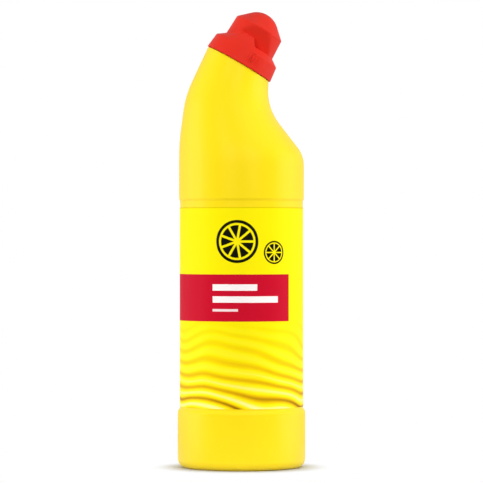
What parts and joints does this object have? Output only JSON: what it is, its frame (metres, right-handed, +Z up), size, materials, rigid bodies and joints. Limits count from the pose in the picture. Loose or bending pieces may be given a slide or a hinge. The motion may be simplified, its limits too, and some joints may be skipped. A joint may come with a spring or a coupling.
{
  "type": "bleach bottle",
  "caption": "Household bleach bottle: round body with a recessed wrap label, a neck leaning to one side, and a squeeze-and-turn screw cap over a pouring nozzle.",
  "frame": {"origin": "centre of the ring that the bottle stands on, at floor height", "axes": "+Z up along the body, +X the way the neck leans, -Y out of the middle of the label's front"},
  "size_m": [0.0736, 0.0736, 0.2623],
  "materials": {
    "bottle": "blown yellow polyethylene, satin gloss",
    "label": "gloss-varnished printed film",
    "nozzle": "moulded natural polyethylene",
    "cap": "moulded red polypropylene, satin gloss",
    "seal_disc": "white foamed polyethylene"
  },
  "bodies": {
    "bottle": {"bottle": "bottle", "label": "label", "nozzle": "nozzle"},
    "seal": {"seal_disc": "seal_disc"},
    "cap": {"cap": "cap"}
  },
  "joints": [
    {"name": "cap_lift", "type": "slide", "parent": "bottle", "child": "seal", "axis": [0.5, 0, 0.866], "range_m": [0, 0.006]},
    {"name": "cap_turn", "type": "hinge", "parent": "seal", "child": "cap", "pos_m": [-0.0015, 0, 0.2323], "axis": [0.5, 0, 0.866], "range_deg": [0, 540]}
  ],
  "couplings": [
    {"joint": "cap_lift", "follows": "cap_turn", "m_per_rad": 0.000636}
  ]
}
